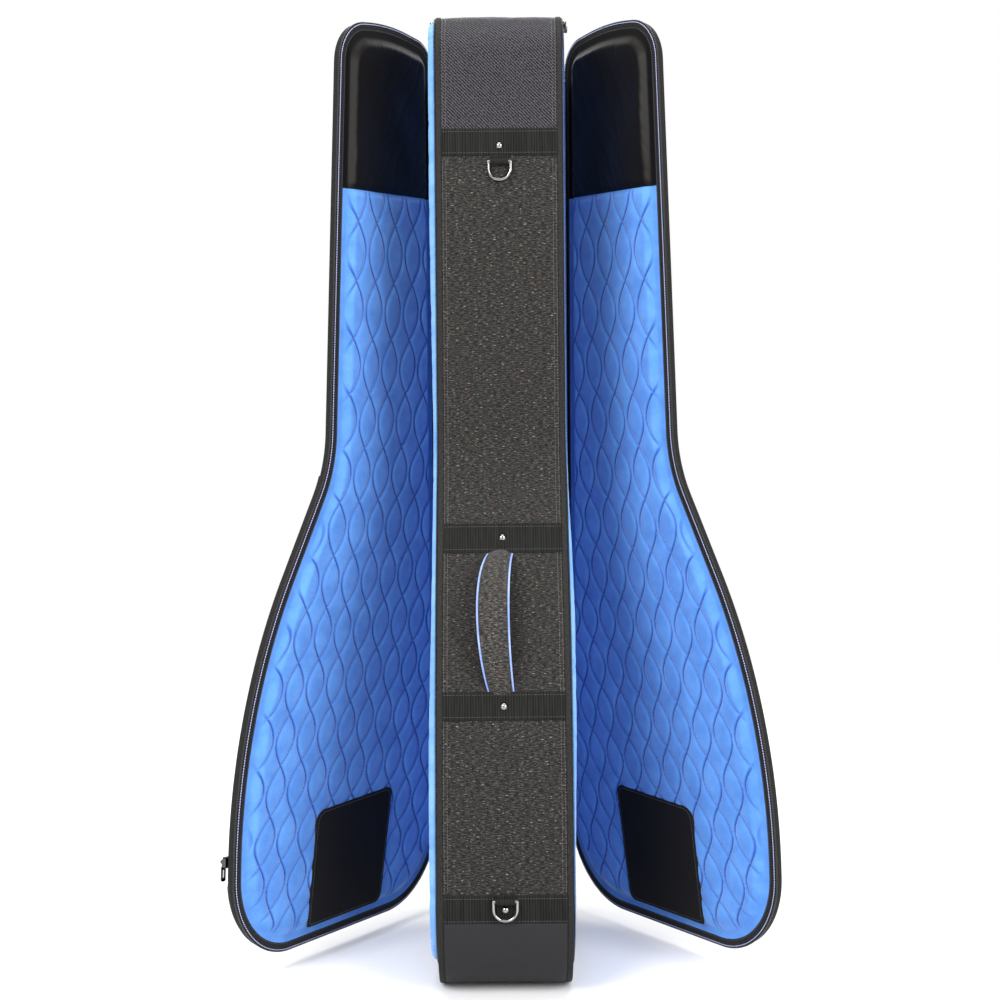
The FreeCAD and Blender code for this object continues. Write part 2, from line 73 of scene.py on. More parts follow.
# ---- dimensions of the visual model alone ----
panel_edge = 67.6            # half the width of the outer panels, up to the edge tape
stitch_x = (61.4, 65.2)      # the two stitch lines along each edge of the panels
lip_reach = 16.0             # where a door's padding starts, clear of the lip
handle_bow, handle_shift = 9.0, 2.2
rib_pitch, tooth_pitch = 2.94, 2.1
# the quilting: width of a column and half the swing of its seams, then quadratics in the height in metres
# that follow the photo's seams, for the rows of pads and for how the columns lean
column_wide, lens_half = 37.2, 15.4
quilt_rows = (-5.538, 19.75, -3.308)
quilt_lean = (0.3027, -0.4436, 0.2281)


# ---- outlines ----
def whole_outline(low, rear_r, front_r):
    return [(0.0, low, rear_r), (front_foot - front_lean * low, low, front_r)] + upper_corners


def unit(v):
    return v / np.linalg.norm(v, axis=-1, keepdims=True)


def heading(p, q):
    d = np.subtract(q, p)
    return d / np.hypot(*d)


def corner(corners, i):
    """One corner's place, the directions into it and out of it, their cross product and half the turn."""
    before, here, after = (np.array(corners[k % len(corners)][:2]) for k in (i - 1, i, i + 1))
    a, b = heading(before, here), heading(here, after)
    return here, a, b, a[0] * b[1] - a[1] * b[0], 0.5 * math.acos(max(-1.0, min(1.0, a @ b)))


def trace(corners, inset):
    """Points and outward normals of a rounded outline moved inwards; an index stays in place at any inset."""
    count = len(corners)
    arcs = []
    for i in range(count):
        here, a, b, cross, half = corner(corners, i)
        turn = 1 if cross > 0 else -1
        inward = np.array((-a[1], a[0]))
        tip = here + inset * inward + a * inset * (a @ b - 1) / cross
        radius = max(corners[i][2] - turn * inset, 1.0)
        reach = radius * math.tan(half)
        start, end = tip - a * reach, tip + b * reach
        arcs.append((a, turn, radius, half, start, end, start + turn * radius * inward))
    points, normals = [], []
    for i in range(count):
        a, turn, radius, half, start, end, centre = arcs[i]
        last = arcs[i - 1][5]
        run = run_counts[i]
        t = np.arange(run)[:, None] / run
        points.append(last + t * (start - last))
        normals.append(np.tile((a[1], -a[0]), (run, 1)))
        bend = arc_counts[i]
        angle = math.atan2(a[1], a[0]) + turn * 2 * half * np.arange(bend) / bend
        n = np.stack((np.sin(angle), -np.cos(angle)), 1)
        points.append(centre + turn * radius * n)
        normals.append(n)
    return np.vstack(points), np.vstack(normals)


run_counts = (420, 80, 12, 12, 210, 4, 12)
arc_counts = (80, 90, 120, 50, 50, 40, 40)


class Outline:
    """A rounded outline, asked for points by distance along it, from the upper end of the rear edge."""

    def __init__(self, corners, inset=0.0):
        self.p, self.n = trace(corners, inset)
        step = np.hypot(*np.diff(np.vstack((self.p, self.p[:1])), axis=0).T)
        self.s = np.concatenate(([0.0], np.cumsum(step)))
        self.length = self.s[-1]
        z = self.p[:, 1]
        self.foot = np.flatnonzero(z < z.min() + 0.01)
        self.apex = int(np.argmax(z))

    def at(self, s):
        s = np.mod(s, self.length)
        cols = [np.interp(s, self.s, np.append(c, c[0])) for c in (*self.p.T, *self.n.T)]
        return np.stack(cols[:2], -1), unit(np.stack(cols[2:], -1))

    def height(self, s):
        return self.at(s)[0][:, 1]

    def front(self, z):
        """Distance along to the handle side at a height."""
        part = slice(self.foot[-1], self.apex + 1)
        return float(np.interp(z, self.p[part, 1], self.s[:-1][part]))

    def rear(self, z):
        """Distance along to the rear edge at a height below the rear corner of the top."""
        part = slice(0, self.foot[0] + 1)
        return float(np.interp(-z, -self.p[part, 1], self.s[:-1][part]))

    def row(self, z):
        """The u where a level line enters and leaves the outline."""
        front = slice(self.foot[-1], self.apex + 1)
        behind = np.vstack((self.p[self.apex:], self.p[:self.foot[0] + 1]))
        return (np.interp(-z, -behind[:, 1], behind[:, 0]), np.interp(z, self.p[front, 1], self.p[front, 0]))


body_corners, door_corners = whole_outline(1.5, 95.0, 104.0), whole_outline(25.0, 115.0, 92.0)
body_line, door_line = Outline(body_corners), Outline(door_corners)


def place(uz, x):
    """Points in the bag's axes from (u, z) and x, in millimetres."""
    return np.stack((np.broadcast_to(x, uz.shape[:-1]), rear_y - uz[..., 0], uz[..., 1]), -1)


def flat_part(points):
    """The (u, z) of points in the bag's axes."""
    return np.stack((rear_y - points[:, 1], points[:, 2]), -1)


def direction(n):
    """Directions in the bag's axes from directions in (u, z)."""
    return np.stack((np.zeros(n.shape[:-1]), -n[..., 0], n[..., 1]), -1)


def nearest_index(line, points):
    """For each point, the index of the nearest point of an outline."""
    return np.array([np.argmin(((line.p - q) ** 2).sum(1)) for q in flat_part(points)])


def along(line, s, x, out):
    """Grid of points: each column follows an outline at its own x and distance outside it."""
    p, n = line.at(np.asarray(s, float))
    x, out = np.broadcast_arrays(np.asarray(x, float), np.asarray(out, float))
    if x.ndim == 1:
        x, out = (np.broadcast_to(v, (len(s), len(v))) for v in (x, out))
    return place(p[:, None] + n[:, None] * out[..., None], x)


def around(line, x, out):
    """The same, all the way round, with one row for each point of the outline."""
    x, out = np.broadcast_arrays(np.asarray(x, float), np.asarray(out, float))
    if x.ndim == 1:
        x, out = (np.broadcast_to(v, (len(line.p), len(v))) for v in (x, out))
    return place(line.p[:, None] + line.n[:, None] * out[..., None], x)


# ---- small mathematics ----
def ease(t):
    t = np.clip(t, 0.0, 1.0)
    return t * t * (3 - 2 * t)


def ripple(a, b, size, seed):
    """Smooth unevenness between about -1 and 1, with waves about as long as size."""
    draw = np.random.default_rng(seed)
    total = 0.0
    for _ in range(14):
        angle, phase = draw.uniform(0, 2 * math.pi, 2)
        wave = 2 * math.pi / (size * draw.uniform(0.6, 1.8))
        total = total + np.cos(wave * (a * math.cos(angle) + b * math.sin(angle)) + phase)
    return total / 4.5


# ---- meshes ----
def opened(points):
    """Turns points of the closed right door to its rest angle."""
    c, s = math.cos(door_open), math.sin(door_open)
    x, y = points[..., 0] - door_x, points[..., 1] - rear_y
    return np.stack((door_x + c * x - s * y, rear_y + s * x + c * y, points[..., 2]), -1)


def mirrored(points):
    return points * np.array((-1.0, 1.0, 1.0))


def add_object(name, data):
    made = bpy.data.objects.new(name, data)
    bpy.context.scene.collection.objects.link(made)
    return made


def build(name, verts, faces, material, body, uv=None, smooth=True):
    """A mesh object from points in millimetres, riding on a body."""
    mesh = bpy.data.meshes.new(name)
    mesh.from_pydata((np.asarray(verts) * 0.001).tolist(), [], faces)
    if uv is not None:
        layer = mesh.uv_layers.new(name="flat")
        index = np.empty(len(mesh.loops), np.int32)
        mesh.loops.foreach_get("vertex_index", index)
        layer.data.foreach_set("uv", (np.asarray(uv)[index] * 0.001).astype(np.float32).ravel())
    mesh.polygons.foreach_set("use_smooth", [smooth] * len(mesh.polygons))
    mesh.materials.append(material)
    mesh.update()
    piece = add_object(name, mesh)
    if body:
        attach(piece, body)
    return piece


def grid_faces(rows, cols, closed_rows=False, closed_cols=False, flip=False):
    i = np.arange(rows if closed_rows else rows - 1)[:, None]
    j = np.arange(cols if closed_cols else cols - 1)[None, :]
    a, b = i * cols + j, (i + 1) % rows * cols + j
    c, d = (i + 1) % rows * cols + (j + 1) % cols, i * cols + (j + 1) % cols
    order = (a, d, c, b) if flip else (a, b, c, d)
    return np.stack([np.broadcast_to(v, a.shape) for v in order], -1).reshape(-1, 4)


def surface(name, points, material, body, closed_rows=False, closed_cols=False, flip=False, uv=None):
    """A grid of points as one smooth surface. uv is measured on the cloth, in millimetres."""
    rows, cols = points.shape[:2]
    faces = grid_faces(rows, cols, closed_rows, closed_cols, flip)
    if uv is not None:
        uv = np.stack([np.broadcast_to(v, (rows, cols)) for v in uv], -1).reshape(-1, 2)
    return build(name, points.reshape(-1, 3), faces.tolist(), material, body, uv)


def solidify(piece, thick):
    """Gives cloth its thickness, behind the surface that was drawn."""
    m = piece.modifiers.new("thickness", "SOLIDIFY")
    m.thickness = thick * 0.001
    m.offset = -1.0


def bevel(piece, width, segments):
    m = piece.modifiers.new("edges", "BEVEL")
    m.width = width * 0.001
    m.segments = segments
    m.limit_method = "ANGLE"


def blocks(name, centres, long_axis, out_axis, size, material, body, taper=0.7):
    """Many small rounded blocks as one mesh, such as zip teeth or stitches. size is along, across, high."""
    side = np.cross(long_axis, out_axis)
    corners = []
    for up, narrow in ((0.0, 1.0), (0.65, 1.0), (1.0, taper)):
        for a, b in ((-1, -1), (1, -1), (1, 1), (-1, 1)):
            corners.append(centres + long_axis * a * narrow * size[0] / 2
                           + side * b * narrow * size[1] / 2 + out_axis * up * size[2])
    verts = np.stack(corners, 1)
    quads = []
    for level in (0, 4):
        for k in range(4):
            n = (k + 1) % 4
            quads.append((level + k, level + n, level + n + 4, level + k + 4))
    quads += [(8, 9, 10, 11), (3, 2, 1, 0)]
    faces = np.arange(len(centres))[:, None, None] * 12 + np.array(quads)[None]
    return build(name, verts.reshape(-1, 3), faces.reshape(-1, 4).tolist(), material, body)


def spaced(path, pitch, closed=False):
    """Evenly spaced points and directions along a path of points."""
    path = np.vstack((path, path[:1])) if closed else path
    step = np.linalg.norm(np.diff(path, axis=0), axis=1)
    s = np.concatenate(([0.0], np.cumsum(step)))
    where = np.arange(pitch / 2, s[-1], pitch)
    points = np.stack([np.interp(where, s, c) for c in path.T], 1)
    ahead = np.stack([np.interp(where + 0.5, s, c) for c in path.T], 1)
    behind = np.stack([np.interp(where - 0.5, s, c) for c in path.T], 1)
    return points, unit(ahead - behind)


def stitches(name, path, out_axis, material, body, pitch=3.4, wide=0.55, closed=False):
    """A line of stitches along a path; out_axis is one direction, or gives one for each stitch's point."""
    points, way = spaced(path, pitch, closed)
    out = out_axis(points) if callable(out_axis) else np.broadcast_to(out_axis, points.shape)
    return blocks(name, points - out * 0.25, way, out, (pitch * 0.68, wide, 0.62), material, body, 0.55)


def tube(name, path, radius, material, body, segments=12, closed=False):
    """A round tube along a path of points in a plane of constant x, or nearly so."""
    way = unit(np.gradient(path, axis=0))
    a = unit(np.cross(way, (1.0, 0.0, 0.0)))
    b = np.cross(way, a)
    turn = np.linspace(0, 2 * math.pi, segments, endpoint=False)
    ring = path[:, None] + radius * (a[:, None] * np.cos(turn)[:, None] + b[:, None] * np.sin(turn)[:, None])
    return surface(name, ring, material, body, closed_rows=closed, closed_cols=True)


# ---- materials ----
def linear(r, g, b):
    """A colour given as 0-255 steps on a screen, as the light that it stands for."""
    return [((c / 255 + 0.055) / 1.055) ** 2.4 if c > 10 else c / 255 / 12.92 for c in (r, g, b)] + [1.0]


class Look:
    """One material with its nodes."""

    def __init__(self, name, slot, colour, rough, **sockets):
        self.m = bpy.data.materials.new(name)
        self.m.use_nodes = True
        self.m["slot"] = slot
        self.shader = self.m.node_tree.nodes["Principled BSDF"]
        self.shader.inputs["Base Color"].default_value = colour
        self.shader.inputs["Roughness"].default_value = rough
        for key, value in sockets.items():
            self.shader.inputs[key.replace("_", " ")].default_value = value
        self.bump = None

    def add(self, kind, inputs=None, **props):
        node = self.m.node_tree.nodes.new(kind)
        for key, value in props.items():
            setattr(node, key, value)
        for key, value in (inputs or {}).items():
            if isinstance(value, bpy.types.NodeSocket):
                self.m.node_tree.links.new(value, node.inputs[key])
            else:
                node.inputs[key].default_value = value
        return node

    def link(self, source, socket):
        self.m.node_tree.links.new(source, self.shader.inputs[socket])

    def where(self, scale, flat=True):
        """Coordinates on the cloth in its own metres, or in the object's, stretched by a scale."""
        source = self.add("ShaderNodeUVMap", uv_map="flat").outputs[0] if flat else \
            self.add("ShaderNodeTexCoord").outputs["Object"]
        return self.add("ShaderNodeMapping", {"Vector": source, "Scale": scale}).outputs[0]

    def noise(self, scale, flat=True, detail=2.0, rough=0.5):
        return self.add("ShaderNodeTexNoise", {"Vector": self.where(scale, flat), "Scale": 1.0,
                                               "Detail": detail, "Roughness": rough}).outputs[0]

    def ramp(self, source, low, high, dark=0.0, light=1.0):
        return self.add("ShaderNodeMapRange", {"Value": source, "From Min": low, "From Max": high,
                                               "To Min": dark, "To Max": light}).outputs[0]

    def mix(self, factor, a, b):
        return self.add("ShaderNodeMix", {0: factor, 6: a, 7: b}, data_type="RGBA").outputs[2]

    def sum(self, kind, a, b=0.0):
        return self.add("ShaderNodeMath", {0: a, 1: b}, operation=kind).outputs[0]

    def curve(self, source, terms):
        """A quadratic of a value: terms are its constant, its slope and its square."""
        inner = self.sum("ADD", self.sum("MULTIPLY", source, terms[2]), terms[1])
        return self.sum("ADD", self.sum("MULTIPLY", inner, source), terms[0])

    def quilt_seam(self):
        """0 along the quilt's seams and 1 a little way off them, and which way each seam leans, which sets the
        painted light and shade on the seams.
        """
        split = self.add("ShaderNodeSeparateXYZ", {0: self.where((1.0, 1.0, 1.0))})
        u, z = split.outputs[0], split.outputs[1]
        turn = self.sum("MULTIPLY", self.curve(z, quilt_rows), math.pi)
        swing = self.sum("MULTIPLY", self.sum("SINE", turn), lens_half / column_wide)
        across = self.sum("SUBTRACT", u, self.curve(z, quilt_lean))
        column = self.sum("MULTIPLY", across, 1000.0 / column_wide)
        first, second = (self.sum("PINGPONG", self.sum(kind, column, swing), 0.5)
                         for kind in ("ADD", "SUBTRACT"))
        fade = self.add("ShaderNodeAttribute", attribute_name="fade").outputs["Fac"]
        near = self.ramp(self.sum("MINIMUM", first, second), 0.2 / column_wide, 2.6 / column_wide)
        other = self.sum("MULTIPLY", self.sum("GREATER_THAN", second, first), -2.0)
        slope = self.sum("MULTIPLY", self.sum("COSINE", turn), self.sum("ADD", other, 1.0))
        return self.sum("MAXIMUM", near, fade), self.ramp(slope, -0.6, 0.6)

    def raise_by(self, source, height, strength=1.0):
        """Adds fine relief of a height in millimetres."""
        inputs = {"Height": source, "Distance": height * 0.001, "Strength": strength}
        if self.bump:
            inputs["Normal"] = self.bump
        self.bump = self.add("ShaderNodeBump", inputs).outputs[0]
        self.link(self.bump, "Normal")


def heather_cloth(name, lift):
    look = Look(name, "heather", linear(40, 39, 38), 0.9, Sheen_Weight=0.08, Sheen_Roughness=0.5,
                Specular_IOR_Level=0.12)
    brown, green = linear(82 * lift, 72 * lift, 70 * lift), linear(70 * lift, 73 * lift, 67 * lift)
    hue = look.mix(look.ramp(look.noise((60.0, 500.0, 1.0)), 0.4, 0.6), brown, green)
    slub = look.noise((190.0, 950.0, 1.0), detail=3.0, rough=0.65)
    fine = look.noise((520.0, 1900.0, 1.0), detail=2.0)
    fleck = look.noise((230.0, 800.0, 7.0), detail=1.0)
    tone = look.mix(look.ramp(slub, 0.46, 0.63), linear(23 * lift, 23 * lift, 23 * lift), hue)
    tone = look.mix(look.ramp(fine, 0.42, 0.66, 0.0, 0.6), tone, linear(20, 20, 19))
    tone = look.mix(look.ramp(fleck, 0.67, 0.75, 0.0, 0.8), tone, linear(132, 128, 121))
    look.link(tone, "Base Color")
    look.raise_by(slub, 0.3, 0.6)
    look.raise_by(fine, 0.2, 0.6)
    return look.m


def velvet(name, deep, bright, seams=False):
    look = Look(name, "lining", deep, 0.9, Sheen_Weight=0.55, Sheen_Roughness=0.4, Specular_IOR_Level=0.1)
    look.shader.inputs["Sheen Tint"].default_value = linear(216, 228, 246)
    pile = look.noise((38.0, 26.0, 38.0), flat=False, detail=4.0, rough=0.6)
    tone = look.mix(look.ramp(pile, 0.35, 0.65), deep, bright)
    if seams:
        seam, slope = look.quilt_seam()
        # seams leaning one way are painted dark and those leaning the other way stay near the cloth's colour:
        # painted shade and painted highlight of the pads' relief, as from a light on one side
        tone = look.mix(seam, look.mix(slope, linear(66, 108, 184), linear(34, 64, 142)), tone)
        look.raise_by(seam, 0.7, 0.8)
    look.link(tone, "Base Color")
    look.raise_by(look.noise((1500.0, 1500.0, 1500.0), flat=False), 0.15, 0.5)
    return look.m


def webbing_cloth():
    """Ribbed webbing whose ribs catch the light unevenly, painted into its colour: lighter ribs with darker
    gaps between them, and uneven lighter streaks.
    """
    look = Look("ribbed webbing", "webbing", linear(20, 20, 19), 0.85, Specular_IOR_Level=0.15)
    streak = look.noise((330.0, 16.0, 1.0), detail=2.0)
    fine = look.noise((1500.0, 700.0, 1.0))
    rib = look.add("ShaderNodeTexWave", {"Vector": look.where((1.0, 1.0, 1.0)), "Distortion": 0.0,
                                         "Scale": 2 * math.pi / (20 * rib_pitch * 0.001),
                                         "Phase Offset": math.pi / 2}).outputs["Fac"]
    # painted highlight on the ribs, painted shade in the gaps between them and uneven painted lighter streaks
    ribbed = look.sum("ADD", look.sum("MULTIPLY", rib, 0.6), look.ramp(streak, 0.38, 0.66, 0.0, 0.4))
    tone = look.mix(ribbed, linear(7, 7, 7), linear(36, 36, 34))
    look.link(look.mix(look.ramp(fine, 0.3, 0.7, 0.0, 0.4), tone, linear(9, 9, 9)), "Base Color")
    look.raise_by(streak, 0.4, 0.6)
    look.raise_by(fine, 0.2, 0.6)
    return look.m


def woven(name, slot, dark, light, rough, scale, relief, **sockets):
    look = Look(name, slot, dark, rough, **sockets)
    weave = look.noise(scale)
    look.link(look.mix(look.ramp(weave, 0.35, 0.65), dark, light), "Base Color")
    look.raise_by(weave, relief, 0.6)
    return look.m


def twill():
    """Coated cloth with a fine diagonal weave that sparkles: the light speckles along the weave are painted
    sparkle in its colour.
    """
    look = Look("coated twill", "ballistic", linear(40, 39, 42), 0.62, Specular_IOR_Level=0.12)
    wave = look.add("ShaderNodeTexWave", {"Vector": look.where((1.0, 1.0, 1.0)), "Scale": 160.0,
                                          "Distortion": 1.8, "Detail": 2.0, "Detail Scale": 3.0},
                    bands_direction="DIAGONAL").outputs["Fac"]
    grain = look.noise((700.0, 560.0, 1.0), detail=1.0)
    weave = look.sum("MULTIPLY", look.sum("ADD", wave, look.ramp(grain, 0.3, 0.7)), 0.5)
    # light speckles along the weave: painted sparkle of the coated weave
    look.link(look.mix(look.ramp(weave, 0.4, 0.62), linear(5, 5, 5), linear(62, 60, 65)), "Base Color")
    look.raise_by(weave, 0.25, 0.6)
    return look.m


def leather_patch():
    look = Look("artificial leather", "patch", linear(21, 19, 18), 0.75, Specular_IOR_Level=0.12)
    cells = look.add("ShaderNodeTexVoronoi", {"Vector": look.where((1.0, 1.0, 1.0), False), "Scale": 900.0})
    look.raise_by(cells.outputs["Distance"], 0.25, 0.5)
    return look.m


def metal(name, colour, rough):
    look = Look(name, "nickel", colour, rough, Metallic=1.0)
    # the colour darkens where the surface turns away from view: a painted dark reflection round the rims
    facing = look.add("ShaderNodeLayerWeight", {"Blend": 0.5}).outputs["Facing"]
    dark = [c * 0.06 for c in colour[:3]] + [1.0]
    look.link(look.mix(look.ramp(facing, 0.05, 0.45), colour, dark), "Base Color")
    wear = look.noise((300.0, 300.0, 300.0), flat=False)
    look.link(look.ramp(wear, 0.3, 0.7, rough * 0.8, rough * 1.25), "Roughness")
    return look.m


def thread(name, colour, slot):
    look = Look(name, slot, colour, 0.6, Sheen_Weight=0.2)
    look.raise_by(look.noise((900.0, 900.0, 900.0), flat=False), 0.1, 0.5)
    return look.m


# the handle's heather is a lighter copy of the same cloth: painted light on the raised grip
heather, handle_heather = heather_cloth("heather cloth", 0.86), heather_cloth("handle heather", 1.2)
top_cloth = twill()
base_cloth = woven("base cloth", "base", linear(22, 21, 24), linear(36, 35, 37), 0.65,
                   (1400.0, 1400.0, 1.0), 0.12, Specular_IOR_Level=0.2)
lining_cloth = velvet("quilted velvet", linear(72, 120, 188), linear(86, 137, 202), seams=True)
lip_cloth = velvet("lip velvet", linear(92, 138, 198), linear(112, 158, 214))
inner_cloth = velvet("inner velvet", linear(60, 108, 196), linear(74, 122, 206))
webbing = webbing_cloth()
tape_cloth = woven("edge tape", "binding", linear(13, 13, 13), linear(34, 33, 32), 0.75,
                   (700.0, 300.0, 1.0), 0.15, Specular_IOR_Level=0.2)
coil_plastic = Look("zip coil", "zip_coil", linear(22, 22, 24), 0.4).m
satin = woven("black satin", "satin", linear(13, 11, 9), linear(17, 15, 12), 0.42, (2600.0, 900.0, 1.0), 0.05,
              Specular_IOR_Level=0.12, Sheen_Weight=0.05, Sheen_Roughness=0.3)
patch_leather = leather_patch()
nickel = metal("polished nickel", linear(150, 148, 145), 0.12)
black_nickel = metal("black nickel", linear(118, 116, 118), 0.22)
dark_thread = thread("dark thread", linear(40, 39, 38), "webbing")
black_thread = thread("black thread", linear(9, 9, 9), "heather")
grey_thread = thread("grey thread", linear(66, 63, 61), "heather")
pale_thread = thread("pale thread", linear(168, 174, 214), "binding")
piping_cloth = velvet("piping", linear(110, 132, 196), linear(140, 160, 214))


# ---- gusset ring ----
def swell(z):
    """How freely the padding stands out at a height: not at all under the bands."""
    free = 1.0
    for low, high in bands.values():
        gap = np.maximum(np.maximum(low - z, z - high), 0.0)
        free = free * (1 - np.exp(-(gap / 48.0) ** 2))
    return free


def panel(name, s0, s1, material, replaced, rise=2.6, seed=1):
    """One outer panel of the gusset, softly padded between its seams."""
    s = np.linspace(s0, s1, max(int(abs(s1 - s0) / 3.0), 8))
    x = np.linspace(-panel_edge, panel_edge, 67)
    z = body_line.height(s)[:, None]
    cross = np.clip(1 - (x[None] / panel_edge) ** 2, 0, 1) ** 0.6
    out = rise * swell(z) * cross * (1 + 0.25 * ripple(s[:, None], x[None], 90.0, seed))
    out = out + 0.22 * swell(z) * ripple(s[:, None] * 1.6, x[None], 22.0, seed + 1) * cross
    piece = surface(name, along(body_line, s, x, out), material, "root",
                    uv=(x, s[:, None]))
    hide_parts(*replaced)
    return piece


base_top = bands["band_base"][0]
base_mid, top_mid = sum(bands["band_base"]) / 2, sum(bands["band_top"]) / 2
front_low, front_high = body_line.front(base_mid), body_line.front(top_mid)
panel("spine_cloth", front_low, front_high, heather, ["spine_panel", "gusset_foam"])
panel("top_cloth", front_high, body_line.length + body_line.rear(top_mid), top_cloth, ["top_panel"],
                rise=1.6, seed=5)
panel("rear_cloth", body_line.rear(top_mid), body_line.rear(base_top), heather, ["hinge_side_panel"],
                rise=2.0, seed=9)


def base_piece():
    """The tough base panel: smooth, flat underneath, with a folded edge."""
    s = np.linspace(body_line.rear(base_top + 3.0), body_line.front(base_top + 3.0), 170)
    fold = np.linspace(panel_edge - 3.0, panel_edge, 5)
    x = np.concatenate((-fold[::-1], np.linspace(-62.0, 62.0, 40), fold))
    end = np.minimum(s - s[0], s[-1] - s)[:, None]
    out = 1.5 * ease((panel_edge - np.abs(x[None])) / 3.0) * (0.3 + 0.7 * ease(end / 3.0))
    low = body_line.height(s)[:, None]
    out = out + 0.25 * ease((low - 20.0) / 30.0) * ripple(s[:, None], x[None], 40.0, 21) * ease(end / 12.0)
    piece = surface("base_cloth", along(body_line, s, x, out), base_cloth, "root",
                    uv=(x, s[:, None]))
    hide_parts("base_panel")


base_piece()


def band_piece(name, low, high):
    """Ribbed webbing sewn across the panel, its ribs upright, with a stitch line near each edge."""
    s0, s1 = body_line.front(low), body_line.front(high)
    s = s0 + (s1 - s0) * np.array((0.0, 0.02, 0.05, 0.12, 0.3, 0.5, 0.7, 0.88, 0.95, 0.98, 1.0))
    x = np.arange(-67.2, 67.21, 0.42)
    rib = 0.5 + 0.5 * np.cos(2 * math.pi * x / rib_pitch)
    edge = np.array((0.05, 0.6, 0.9, 1.0, 1.0, 1.0, 1.0, 1.0, 0.9, 0.6, 0.05))
    seam = np.array((0, 0, 0.0, 0.35, 0.0, 0.0, 0.0, 0.35, 0.0, 0, 0))
    out = (0.85 + 0.75 * np.sqrt(rib))[None] * edge[:, None] - seam[:, None]
    points = along(body_line, s, x, out)
    piece = surface(name + "_ribbed", points, webbing, "root", uv=(x, s[:, None]))
    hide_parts(name)
    for tag, part in (("lower", 0.12), ("upper", 0.88)):
        p, n = body_line.at([s0 + (s1 - s0) * part])
        path = place(np.repeat(p + n * 1.15, 2, 0), np.array((-66.0, 66.0)))
        stitches(name + "_stitch_" + tag, path, direction(n[0]), dark_thread, "root")


for band_name, (band_low, band_high) in bands.items():
    band_piece(band_name, band_low, band_high)


def outward_of(line):
    """Gives the outward direction of an outline at any points near it."""
    return lambda points: direction(line.n[nearest_index(line, points)])


def edge_pieces(side, tag):
    """Binding, stitching, zip and padded lip of one side of the gusset."""
    x = np.array((66.6, 66.9, panel_edge, 68.8, 70.2, 71.6, 72.6, binding_x)) * side
    out = np.array((0.0, 1.0, 1.4, 1.25, 1.4, 1.35, 1.0, 0.0))
    rim = around(body_line, x, out)
    inner = Outline(door_corners, 4.0)
    face = [rim]
    for t in (0.2, 0.4, 0.6, 0.8, 1.0):
        at_x = side * (binding_x + 0.35 * math.sin(math.pi * t))
        face.append(place(body_line.p + t * (inner.p - body_line.p), at_x)[:, None])
    rim = np.concatenate(face, 1)
    widths = np.concatenate((np.abs(x), binding_x + np.arange(1.0, 6.0)))
    piece = surface("gusset_edge" + tag, rim, tape_cloth, "root", closed_rows=True, flip=side < 0,
                    uv=(widths, body_line.s[:-1][:, None]))
    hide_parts("gusset_binding" + tag)
    find = outward_of(body_line)
    low, (high, over) = bands["band_base"][1] + 2.0, bands["band_top"]
    runs = (("spine", body_line.front(low), body_line.front(high - 2.0), 2.6),
            ("top", body_line.front(over + 3.0), body_line.length + body_line.rear(over + 7.0), 1.6))
    for panel_name, s0, s1, rise in runs:
        s = np.arange(s0, s1, 4.0)
        rise = rise * swell(body_line.height(s))
        for k, at in enumerate(stitch_x):
            out = rise * (1 - (at / panel_edge) ** 2) ** 0.6 + 0.1
            path = along(body_line, s, at * side, out[:, None])[:, 0]
            stitches(f"{panel_name}_stitch_{k}{tag}", path, find, grey_thread, "root", wide=0.6)
    zip_teeth("gusset_teeth" + tag, side * (binding_x + 0.2), side * 1.7, -2.1, "root", "gusset_zip" + tag)
    lip_piece(side, tag)


def zip_teeth(name, x, wide, deep, body, replaced, turned=None):
    """Coil teeth along the doors' outline, left out where the fabric hinge is."""
    points, way = spaced(place(door_line.p, x), tooth_pitch, closed=True)
    index = nearest_index(door_line, points)
    hinged = (points[:, 2] > hinge_z[0]) & (points[:, 2] < hinge_z[1]) & (door_line.p[index, 0] < 30)
    points, way, index = points[~hinged], way[~hinged], index[~hinged]
    points = points + direction(door_line.n[index]) * deep / 2
    across = np.zeros_like(points) + (np.sign(wide), 0.0, 0.0)
    if turned:
        points, way, across = turned(points), turned_way(way, turned), turned_way(across, turned)
    piece = blocks(name, points, way, across, (1.25, abs(deep), abs(wide)), coil_plastic, body, 0.75)
    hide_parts(replaced)


def turned_way(way, turned):
    origin = turned(np.zeros((1, 3)))
    return turned(way) - origin


# how wide each side's lip stands at some heights: as the photo shows, but 8.4 at most, clear of the shut doors
lip_widths = {-1: ((0.0, 284.0, 417.0, 617.0, 750.0, 883.0), (8.4, 8.4, 6.4, 5.4, 7.2, 8.4)),
              1: ((150.0, 217.0, 284.0, 417.0, 484.0, 550.0, 617.0), (2.6, 3.8, 5.4, 6.4, 5.2, 3.0, 1.8))}


def lip_piece(side, tag):
    """Padded velvet roll that stands inside the zip, with small gathers along it."""
    turn = np.linspace(-0.15 * math.pi, 1.1 * math.pi, 18)
    s = door_line.s[:-1][:, None]
    full = np.interp(door_line.p[:, 1:], *lip_widths[side])
    gather = 1 + 0.05 * ripple(s, 0.0 * s, 26.0, 31 + side) + 0.03 * ripple(s, 0.0 * s, 9.0, 35 + side)
    bulge = full * np.sin(np.clip(turn, 0, math.pi))[None] ** 0.8 * np.minimum(gather, 1.0)
    x = side * (binding_x + 0.2 + bulge)
    out = -10.6 + 7.0 * np.cos(turn)[None] * gather
    piece = surface("lip_roll" + tag, around(door_line, x, out), lip_cloth, "root", closed_rows=True,
                    flip=side < 0, uv=(turn[None] * 7.0, s))
    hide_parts("lip" + tag)


for edge_side, edge_tag in sides:
    edge_pieces(edge_side, edge_tag)


# ---- plates: doors and divider ----
def edge_distance(u, z):
    """Distance from the doors' outline, inwards."""
    points = np.stack((u.ravel(), z.ravel()), -1)
    found = np.empty(len(points))
    for k in range(0, len(points), 2000):
        part = points[k:k + 2000]
        found[k:k + 2000] = ((part[:, None] - door_line.p[None]) ** 2).sum(-1).min(1)
    return np.sqrt(found).reshape(u.shape)


